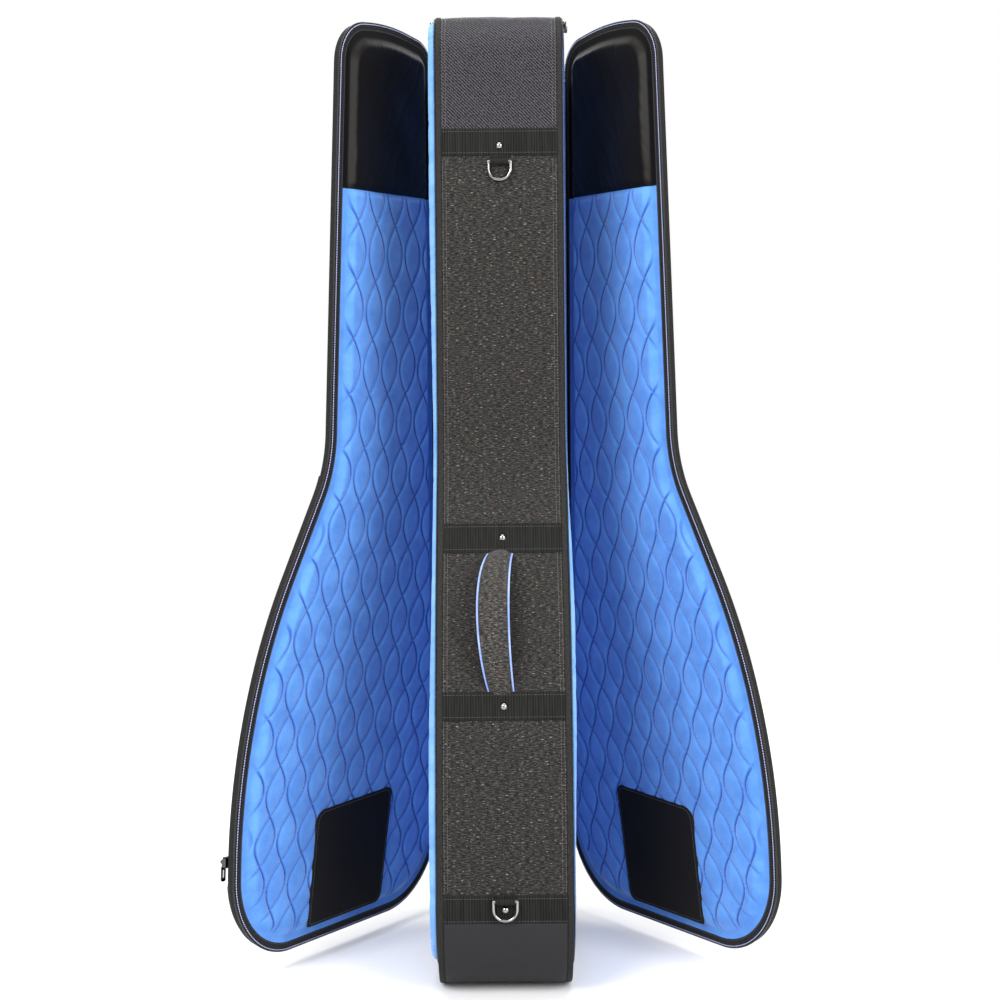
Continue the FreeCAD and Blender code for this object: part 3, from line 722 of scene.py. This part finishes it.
def plate_rows(inset, z0, z1, across=120, step=2.8):
    """Rows of (u, z) between two heights that fill an inset outline, or what a function of z limits."""
    if not callable(inset):
        line = Outline(door_corners, inset)
        z0, z1 = max(z0, line.p[:, 1].min()), min(z1, line.p[:, 1].max())
    ends = np.array((0.02, 0.12, 0.35, 0.8, 1.5, 2.4))
    z = np.concatenate((z0 + ends, np.arange(z0 + 3.6, z1 - 3.6, step), z1 - ends[::-1]))
    back, front = np.array([inset(h) for h in z]).T if callable(inset) else line.row(z)
    t = np.linspace(0, 1, across)
    u = back[:, None] + t[None] * (front - back)[:, None]
    return u, np.broadcast_to(z[:, None], u.shape)


def quilt(u, z, deep=3.3):
    """Sewn relief of onion-shaped pads between crossing wavy seams, 0 on a pad's crown."""
    h = z * 0.001
    rows = math.pi * (quilt_rows[0] + quilt_rows[1] * h + quilt_rows[2] * h * h)
    rate = math.pi * (quilt_rows[1] + 2 * quilt_rows[2] * h) * 0.001
    v = u - 1000.0 * (quilt_lean[0] + quilt_lean[1] * h + quilt_lean[2] * h * h)
    swing = lens_half * np.sin(rows)
    slope = np.sqrt(1 + (lens_half * rate * np.cos(rows)) ** 2)
    nearest = np.full(u.shape, 1e9)
    for sign in (1, -1):
        w = (v - sign * swing) / column_wide
        nearest = np.minimum(nearest, np.abs(w - np.round(w)) * column_wide / slope)
    reach = np.clip(nearest / 7.2, 0, 1)
    return deep * (np.sqrt(1 - (1 - reach) ** 2) - 1)


def door_plate(name, side, u, z, x, material, inner=True):
    """A surface of one door, from its rows and its x on the closed right door."""
    points = opened(place(np.stack((u, z), -1), x))
    if side < 0:
        points = mirrored(points)
    flip = (side < 0) != inner
    return surface(name, points, material, "door_right" if side > 0 else "door_left", flip=flip, uv=(u, z))


def pad_height(u, z):
    """How far the door's padding stands in from its edge tape."""
    return pad_rise * ease((edge_distance(u, z) - lip_reach) / (pad_inset - tape_wide)) ** 0.8


lining_u, lining_z = plate_rows(tape_wide - 1.0, 0.0, head_z, across=180, step=2.3)
head_u, head_z_rows = plate_rows(tape_wide - 1.0, head_z, 1200.0, across=100, step=1.8)
shell_u, shell_z = plate_rows(3.0, 0.0, 1200.0, across=60, step=6.0)
lining_pad, head_pad = pad_height(lining_u, lining_z), pad_height(head_u, head_z_rows)
shell_edge = edge_distance(shell_u, shell_z)


def door_lining(side, tag):
    seam = ease((head_z - lining_z) / 7.0)
    pad = lining_pad * (0.55 + 0.45 * seam)
    share = np.clip(lining_pad / pad_rise, 0, 1)
    h = pad + quilt(lining_u, lining_z) * share * seam
    h = h + 0.5 * ripple(lining_u, lining_z, 120.0, 41 + side) * share
    piece = door_plate("quilted_lining" + tag, side, lining_u, lining_z, door_x - h, lining_cloth)
    fade = piece.data.attributes.new("fade", "FLOAT", "POINT")
    fade.data.foreach_set("value", (1 - share * seam).astype(np.float32).ravel())
    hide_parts("door_lining" + tag, "door_foam" + tag)


def door_head(side, tag):
    """Plain padded satin behind the headstock, with soft creases."""
    seam = ease((head_z_rows - head_z) / 8.0)
    share = np.clip(head_pad / pad_rise, 0, 1)
    soft = ripple(head_u * 1.5, head_z_rows, 110.0, 51 + side)
    h = head_pad * (0.55 + 0.45 * seam) + 0.8 * soft * share * seam
    fold = ripple(head_u + 0.6 * head_z_rows, head_z_rows * 0.25, 26.0, 55 + side)
    h = h - 0.35 * np.exp(-(fold / 0.3) ** 2) * share * seam
    piece = door_plate("head_satin" + tag, side, head_u, head_z_rows, door_x - h, satin)
    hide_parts("door_head_panel" + tag)


def door_outside(side, tag):
    """Heather outer cloth of a door, gently padded."""
    h = 1.6 * ease((shell_edge - 3.0) / 30.0) * (1 + 0.25 * ripple(shell_u, shell_z, 130.0, 61 + side))
    h = h * (1.0 if side > 0 else 0.35)
    piece = door_plate("door_cloth" + tag, side, shell_u, shell_z, door_x + door_thick + 0.3 + h, heather,
                       inner=False)
    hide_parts("door_shell" + tag)


def door_turn(side):
    return opened if side > 0 else (lambda p: mirrored(opened(p)))


def door_rim(side, tag):
    """Edge tape that wraps the door's rim, its thread line and its zip teeth."""
    body = "door" + tag
    x = np.array((82.6, 82.0, 81.95, 82.1, 82.0, 82.3, 83.2, 85.5,
                  88.5, 91.2, 92.6, 93.1, 93.2, 93.2, 93.0, 92.2))
    out = np.array((-9.6, -9.0, -7.0, -5.0, -2.5, -0.8, -0.2, 0.1,
                    0.1, -0.1, -0.5, -1.4, -3.0, -5.0, -6.2, -6.6))
    turned = door_turn(side)
    rim = turned(around(door_line, x, out))
    width = np.concatenate(([0.0], np.cumsum(np.hypot(np.diff(x), np.diff(out)))))
    piece = surface("door_edge" + tag, rim, tape_cloth, body, closed_rows=True, flip=side < 0,
                    uv=(width, door_line.s[:-1][:, None]))
    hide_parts("door_binding" + tag)
    inward = turned_way(np.array([[-1.0, 0.0, 0.0]]), turned)[0]
    path = turned(around(door_line, [door_x], [-0.9]))[:, 0]
    stitches("door_thread" + tag, path, inward, pale_thread, body, pitch=3.0, wide=0.7, closed=True)
    path = turned(around(door_line, [door_x], [-7.6]))[:, 0]
    stitches("door_seam" + tag, path, inward, dark_thread, body, pitch=3.2, closed=True)
    zip_teeth("door_teeth" + tag, 82.8, 2.3, 1.8, body, "door_zip" + tag, turned)


def rounded_polygon(corners, step=1.5):
    """Closed path of points round a polygon with rounded corners."""
    path = []
    for i in range(len(corners)):
        here, a, b, cross, half = corner(corners, i)
        radius = max(corners[i][2], 1.0)
        turn = np.sign(cross)
        start = here - a * radius * math.tan(half)
        centre = start + turn * radius * np.array((-a[1], a[0]))
        angle = math.atan2(a[1], a[0]) - turn * math.pi / 2 + turn * 2 * half * np.linspace(0, 1, 9)
        path.append(centre + radius * np.stack((np.cos(angle), np.sin(angle)), -1))
    return spaced(np.vstack(path), step, closed=True)[0]


def patch_piece(side, tag):
    """Tough leaning patch sewn over the quilting, with a stitched border."""
    border = rounded_polygon(patch_corners)
    middle = border.mean(0)
    share = np.array((0.0, 0.2, 0.4, 0.6, 0.75, 0.87, 0.93, 0.955, 0.98, 0.995, 1.0))
    uz = middle + share[:, None, None] * (np.vstack((border, border[:1])) - middle)[None]
    rise = np.array((1.5, 1.5, 1.5, 1.5, 1.4, 1.3, 1.1, 0.95, 1.2, 1.0, -0.6))[:, None]
    h = pad_rise + rise + 0.5 * ripple(uz[..., 0], uz[..., 1], 55.0, 71 + side) * (1 - share[:, None] ** 4)
    body = "door" + tag
    piece = door_plate("leaning_patch" + tag, side, uz[..., 0], uz[..., 1], door_x - h, patch_leather)
    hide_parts("door_wear_patch" + tag)
    turned = door_turn(side)
    inward = turned_way(np.array([[-1.0, 0.0, 0.0]]), turned)[0]
    seam = middle + 0.957 * (border - middle)
    stitches("patch_stitch" + tag, turned(place(seam, door_x - pad_rise - 1.0)), inward, dark_thread, body,
             pitch=3.2, closed=True)


for door_side, door_tag in sides:
    door_lining(door_side, door_tag)
    door_head(door_side, door_tag)
    door_outside(door_side, door_tag)
    door_rim(door_side, door_tag)
    patch_piece(door_side, door_tag)


# ---- divider and the inside of the gusset ----
def divider_pieces():
    u, z = plate_rows(wall - 0.5, 0.0, 1200.0, across=90, step=4.0)
    edge = ease((edge_distance(u, z) - wall) / 10.0)
    for side, tag in sides:
        x = side * (divider_face - 1.2 + (1.6 + 0.5 * quilt(u, z)) * edge)
        piece = surface("divider_velvet" + tag, place(np.stack((u, z), -1), x), lining_cloth, "root",
                        flip=side < 0, uv=(u, z))
        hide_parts("divider_lining" + tag, *(("divider_board",) if side > 0 else ()))


def inside_walls():
    """Velvet lining round the inside of both compartments."""
    line = Outline(door_corners, wall)
    s = line.s[:-1][:, None]
    for side, tag in sides:
        x = np.concatenate((np.linspace(6.0, 70.5, 14), (72.5, 74.0, 75.5, 76.0)))
        drop = np.concatenate((-0.8 - 1.4 * np.sin(np.linspace(0, math.pi, 14)), (0.2, 1.4, 2.8, 4.6)))
        out = drop[None] + 0.5 * ripple(s, x[None], 60.0, 81 + side)
        points = around(line, side * x, out)
        piece = surface("inner_wall" + tag, points, inner_cloth, "root", closed_rows=True, flip=side > 0,
                        uv=(x, s))
        if side > 0:
            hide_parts("gusset_lining")


divider_pieces()
inside_walls()


def cradle_pieces(side, tag):
    """Neck cradle: a velvet-covered foam block with a round notch, and the strap over it."""
    line = Outline(door_corners, wall)
    rear_u, front_u = line.row(cradle_z[1] - 1.0)
    reach = math.sqrt(notch_r ** 2 - (notch_x - cradle_x) ** 2)
    angle0 = math.atan2(reach, notch_x - cradle_x)
    angles = np.linspace(-angle0, angle0, 25)
    notch = [(notch_u + notch_r * math.sin(a), notch_x - notch_r * math.cos(a)) for a in angles]
    ring = [(rear_u, divider_face), (rear_u, cradle_x), *notch, (front_u, cradle_x), (front_u, divider_face)]
    count = len(ring)
    verts = [(side * x, rear_y - u, z) for z in cradle_z for u, x in ring]
    flanks = [(k, (k + 1) % count, count + (k + 1) % count, count + k) for k in range(count)]
    faces = flanks + [tuple(range(count))[::-1], tuple(range(count, 2 * count))]
    if side < 0:
        faces = [f[::-1] for f in faces]
    piece = build("cradle_foam" + tag, verts, faces, inner_cloth, "root", smooth=False)
    bevel(piece, 3.0, 4)
    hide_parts("neck_cradle" + tag)
    u = np.linspace(47.0, 153.0, 60)
    z = np.array((806.0, 806.4, 807.5, 812.0, 821.0, 830.0, 834.5, 835.6, 836.0))
    bow = 1.0 - np.clip(np.abs(u - notch_u) / notch_r, 0, 1) ** 2
    x = cradle_x + 1.3 + 0.9 * bow[:, None] + 0.12 * ripple(u[:, None], z[None], 14.0, 91 + side)
    points = place(np.stack(np.broadcast_arrays(u[:, None], z[None]), -1), side * x)
    strap = surface("cradle_strap" + tag, points, tape_cloth, "root", flip=side < 0, uv=(u[:, None], z))
    solidify(strap, 1.6)
    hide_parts("neck_strap" + tag)


for cradle_side, cradle_tag in sides:
    cradle_pieces(cradle_side, cradle_tag)


# ---- carry handle ----
def handle_frame():
    ends = bands["band_handle_lower"][1], bands["band_handle_upper"][0]
    low, high = body_line.at([body_line.front(z) for z in ends])[0]
    way = heading(low, high)
    out = np.array((way[1], -way[0]))
    half = np.hypot(*(high - low)) / 2
    radius = (half ** 2 + handle_rise ** 2) / (2 * handle_rise)
    centre = (low + high) / 2 - out * (radius - handle_rise)
    return centre, radius, math.atan2(out[1], out[0]), math.asin(min(half / radius, 1.0))


def handle_pieces():
    """Spindle-shaped padded strap: a raised grip between two sewn grooves, thin flaps and piped edges."""
    centre, radius, facing, spread = handle_frame()
    t = np.linspace(-1.0, 1.0, 90)
    angle = facing + t * spread * 1.04
    ray = np.stack((np.cos(angle), np.sin(angle)), -1)
    wide = 12.3 + 3.9 * (1 - t ** 2)
    lean = -handle_shift - handle_bow * (1 - t ** 2)
    left_groove = np.maximum(-8.4 - 7.0 * t ** 2, 1.2 - wide)
    right_groove = np.minimum(6.8 + 6.0 * t ** 2, wide - 1.2)
    share = np.linspace(0.0, 1.0, 47)
    x = -wide[:, None] + 2 * wide[:, None] * share[None]
    grip = np.clip((x - left_groove[:, None]) / (right_groove - left_groove)[:, None], 0, 1)
    crown = np.sin(math.pi * grip) ** 0.55 * (2.6 + 1.5 * (1 - t[:, None] ** 2))
    flap_left = np.clip((left_groove[:, None] - x) / (left_groove + wide)[:, None], 0, 1)
    flap_right = np.clip((x - right_groove[:, None]) / (wide - right_groove)[:, None], 0, 1)
    flap = np.sin(math.pi * np.clip(np.maximum(flap_left, flap_right), 0, 1)) ** 0.6 * 1.5
    top = 0.9 + crown + flap + 0.12 * ripple(t[:, None] * 80, x, 9.0, 101)
    under = -3.6 - 0.4 * np.sin(math.pi * share)[None] + 0.0 * x
    edge = np.sqrt(np.clip(1 - (2 * share - 1) ** 6, 0, 1))[None]
    top, under = -1.2 + (top + 1.2) * edge, -1.2 + (under + 1.2) * edge
    loop_x = np.concatenate((x, x[:, -2:0:-1]), 1) + lean[:, None]
    loop_out = np.concatenate((top, under[:, -2:0:-1]), 1)
    uz = centre + ray[:, None] * (radius + loop_out)[..., None]
    length = radius * (angle - angle[0])
    cloth = surface("handle_cloth", place(uz, loop_x), handle_heather, "root", closed_cols=True, flip=True,
                    uv=(loop_x, length[:, None]))
    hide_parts("handle_cover", "handle_core")
    for tag, side in (("right", 1), ("left", -1)):
        path = place(centre + ray * (radius - 0.9), side * (wide + 0.9) + lean)
        pipe = tube("handle_piping_" + tag, path, 1.1, piping_cloth, "root")
        if side > 0:
            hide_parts("handle_piping")
    for tag, groove in (("left", left_groove), ("right", right_groove)):
        path = place(centre + ray * (radius + 1.05), groove + lean)
        stitches("handle_stitch_" + tag, path, lambda p: direction(unit(flat_part(p) - centre)), black_thread,
                 "root", pitch=3.0, wide=1.0)


handle_pieces()


# ---- webbing loops of the D-rings ----
def tab_piece(name, height, seat, top):
    """Webbing folded round a D-ring's bar and sewn flat above it."""
    p, n = (v[0] for v in body_line.at([body_line.front(height)]))
    bar = p + n * (seat + ring_off + tab_thick + ring_clear + ring_wire)
    loop_r = ring_wire + ring_clear + tab_thick / 2
    up = np.array((-n[1], n[0]))
    turn = np.linspace(0.5 * math.pi, -1.0 * math.pi, 22)
    loop = [bar + loop_r * (n * math.cos(a) + up * math.sin(a)) for a in turn]
    tail_s = np.linspace(body_line.front(height + 3.0), body_line.front(top), 6)
    tail = [q + m * (seat + tab_thick / 2) for q, m in zip(*body_line.at(tail_s))]
    path = np.array(loop + tail)
    way = unit(np.gradient(path, axis=0))
    side = np.stack((way[:, 1], -way[:, 0]), -1)
    x = np.arange(-11.0, 11.01, 0.45)
    rib = 0.68 + 0.1 * np.cos(2 * math.pi * x / 2.8)
    outer = path[:, None] + side[:, None] * rib[None, :, None]
    inner = path[:, None] - side[:, None] * 0.62 + 0 * outer
    sheet = np.concatenate((outer, inner[::-1]), 0)
    xs = np.broadcast_to(x, sheet.shape[:2])
    length = np.arange(len(sheet))[:, None] * 1.2
    piece = surface(name + "_webbing", place(sheet, xs), webbing, "root", closed_rows=True, uv=(xs, length))
    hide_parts(name)


tab_piece("ring_tab_upper", 922.0, 0.0, 930.0)
tab_piece("ring_tab_lower", 116.0, 1.5, 122.0)


# ---- accessory pocket ----
pocket_lines = [Outline(door_corners, inset) for inset in (pocket_seam, pocket_inset)]


def pocket_limits(z):
    """The u where the pocket's cloth starts and ends at a height: nearer the edge below its zip."""
    share = ease((z - pocket_low + 3.0) / 6.0)
    rows = [np.array(line.row(z)) for line in pocket_lines]
    below = z < pocket_lines[1].p[:, 1].min() + 1
    return rows[0] if below else rows[0] + share * (rows[1] - rows[0])


def pocket_pieces():
    u, z = plate_rows(pocket_limits, pocket_lines[0].p[:, 1].min(), pocket_top, across=90, step=4.0)
    edge = np.minimum(edge_distance(u, z) - pocket_seam, pocket_top - z)
    zipped = z > pocket_low + 4.0
    inside = np.minimum(edge - np.where(zipped, 9.0, 0.0), pocket_top - z)
    crown = ease(inside / 5.0) ** 0.6
    sag = 0.5 + 0.5 * ease((pocket_top - z) / 260.0)
    soft = 0.9 * crown * ripple(u, z, 70.0, 111) * ease(inside / 25.0)
    h = np.clip(pocket_thick * crown * (0.62 + 0.38 * sag) + soft, 0.0, pocket_thick + 2.0)
    piece = door_plate("pocket_cloth", -1, u, z, rim_face + h, heather, inner=False)
    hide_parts("pocket_panel")
    turned = door_turn(-1)
    tape_z = pocket_top + 4.0
    s = np.arange(door_line.front(pocket_low), door_line.front(tape_z), 3.0)
    out = np.array((-1.0, -1.3, -3.0, -5.2, -7.5, -9.2, -9.8))
    x = rim_face + np.array((0.1, 1.6, 2.1, 2.2, 2.1, 1.6, 0.1))
    tape = surface("pocket_tape", turned(along(door_line, s, x, out)), tape_cloth, "door_left", flip=True,
                   uv=(out, s[:, None]))
    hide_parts("pocket_zip")
    back, fore = Outline(door_corners, 1.0).row(tape_z)
    us = np.linspace(back, fore - 8.0, 70)
    rows = np.array((-4.2, -3.8, -2.0, 0.0, 2.0, 3.8, 4.2))
    uz = np.stack(np.broadcast_arrays(us[:, None], tape_z + rows[None]), -1)
    surface("pocket_tape_top", turned(place(uz, np.broadcast_to(x, uz.shape[:2]))), tape_cloth, "door_left",
            uv=(rows, us[:, None]))
    outward = turned_way(np.array([[1.0, 0.0, 0.0]]), turned)[0]
    teeth_x = rim_face + 1.95
    for tag, path in (("side", along(door_line, s, [teeth_x], [-3.6])[:, 0]),
                      ("top", place(np.stack((us, np.full(len(us), tape_z)), -1), teeth_x))):
        points, way = spaced(turned(path), tooth_pitch)
        blocks("pocket_teeth_" + tag, points, way, np.broadcast_to(outward, points.shape), (1.2, 3.4, 0.75),
               coil_plastic, "door_left")


pocket_pieces()


# ---- fabric hinges ----
def hinge_piece(side, tag):
    """Cloth that joins a door to the gusset along the rear edge, drawn bent to the door at its rest angle."""
    z = np.linspace(hinge_z[0], hinge_z[1], 240)
    step = 1.2
    rest = np.array(((58.0, 198.9), (59.0, 199.4), (64.0, 199.6), (70.0, 199.5), (74.0, 199.4),
                     (77.5, 199.9)))
    door = np.array(((82.6, 197.9), (85.5, 198.1), (89.0, 198.1), (92.2, 197.9), (93.7, 196.6), (94.1, 194.0),
                     (94.0, 191.0), (93.4, 189.6)))
    at_door = opened(np.column_stack((door, np.zeros(len(door)))))[:, :2]
    line = np.vstack((rest, at_door))
    fine = spaced(line, step)[0]
    wave = 0.35 * ripple(z[:, None], np.arange(len(fine))[None] * step, 34.0, 121 + side)
    x = np.broadcast_to(fine[:, 0], wave.shape)
    y = fine[:, 1][None] + wave * np.sin(math.pi * np.linspace(0, 1, len(fine)))[None]
    points = np.stack((x, y, np.broadcast_to(z[:, None], wave.shape)), -1)
    if side < 0:
        points = mirrored(points)
    run = float(np.linalg.norm(np.diff(fine, axis=0), axis=1).sum())
    piece = surface("hinge_cloth" + tag, points, tape_cloth, None, flip=side > 0,
                    uv=(np.arange(len(fine))[None] * step, z[:, None]))
    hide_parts("hinge_strip" + tag)
    solidify(piece, 0.9)
    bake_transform(piece)


for hinge_side, hinge_tag in sides:
    hinge_piece(hinge_side, hinge_tag)


# ---- metal pieces keep their CAD meshes, and sliders and pulls get a small bevel ----
bright_metal = ("rivets", "d_ring_upper", "d_ring_lower")
zip_metal = ["pocket_slider", "pocket_pull"]
zip_metal += [f"{part}_{end}{tag}" for part in ("slider", "pull") for end in ("lower", "upper")
              for _, tag in sides]
for metal_name in (*bright_metal, *zip_metal):
    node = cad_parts[metal_name]
    node.data.materials.clear()
    node.data.materials.append(nickel if metal_name in bright_metal else black_nickel)
    if metal_name in zip_metal:
        bevel(node, 0.35, 2)


# ---- floor, light and camera ----
floor_look = Look("pale floor", "floor", (0.86, 0.86, 0.87, 1.0), 0.8)


def studio():
    turn = np.linspace(0, 2 * math.pi, 72, endpoint=False)[None]
    reach = np.array((1.0, 800.0, 1700.0, 2500.0))[:, None]
    points = np.stack((reach * np.cos(turn), reach * np.sin(turn), 0.0 * reach * turn), -1)
    surface("studio_floor", points, floor_look.m, None, closed_cols=True)


studio()


def area_light(name, where, look_at, size, power):
    data = bpy.data.lights.new(name, "AREA")
    data.shape = "RECTANGLE"
    data.size, data.size_y = size
    data.energy = power
    lamp = add_object(name, data)
    lamp.location = where
    way = np.subtract(look_at, where)
    flat = math.hypot(way[0], way[1])
    lamp.rotation_euler = (math.atan2(flat, -way[2]), 0.0, math.atan2(-way[0], way[1]))


area_light("key", (-1.7, -2.4, 2.1), (0.0, 0.0, 0.5), (1.6, 1.6), 112.0)
area_light("fill", (1.9, -2.2, 1.5), (0.0, 0.0, 0.5), (1.6, 1.8), 84.0)
area_light("top", (0.0, -0.3, 2.7), (0.0, 0.0, 0.5), (1.8, 1.8), 52.0)
area_light("rim", (0.0, 2.0, 2.2), (0.0, 0.2, 0.5), (2.4, 1.2), 34.0)

world = bpy.data.worlds.new("studio")
bpy.context.scene.world = world
world.use_nodes = True
tree = world.node_tree
background = tree.nodes["Background"]
background.inputs[0].default_value = (1.0, 1.0, 1.0, 1.0)
seen = tree.nodes.new("ShaderNodeLightPath").outputs["Is Camera Ray"]
strength = tree.nodes.new("ShaderNodeMapRange")
strength.inputs["To Min"].default_value, strength.inputs["To Max"].default_value = 0.55, 1.0
tree.links.new(seen, strength.inputs["Value"])
tree.links.new(strength.outputs[0], background.inputs[1])

lens = bpy.data.cameras.new("camera")
lens.lens = 68.4
lens.sensor_width = 36.0
camera = add_object("camera", lens)
camera.location = (-0.0014, -2.198, 0.657)
camera.rotation_euler = (math.radians(90.0 - 3.22), math.radians(0.47), 0.0)
bpy.context.scene.camera = camera
bpy.context.scene.view_settings.view_transform = "Standard"
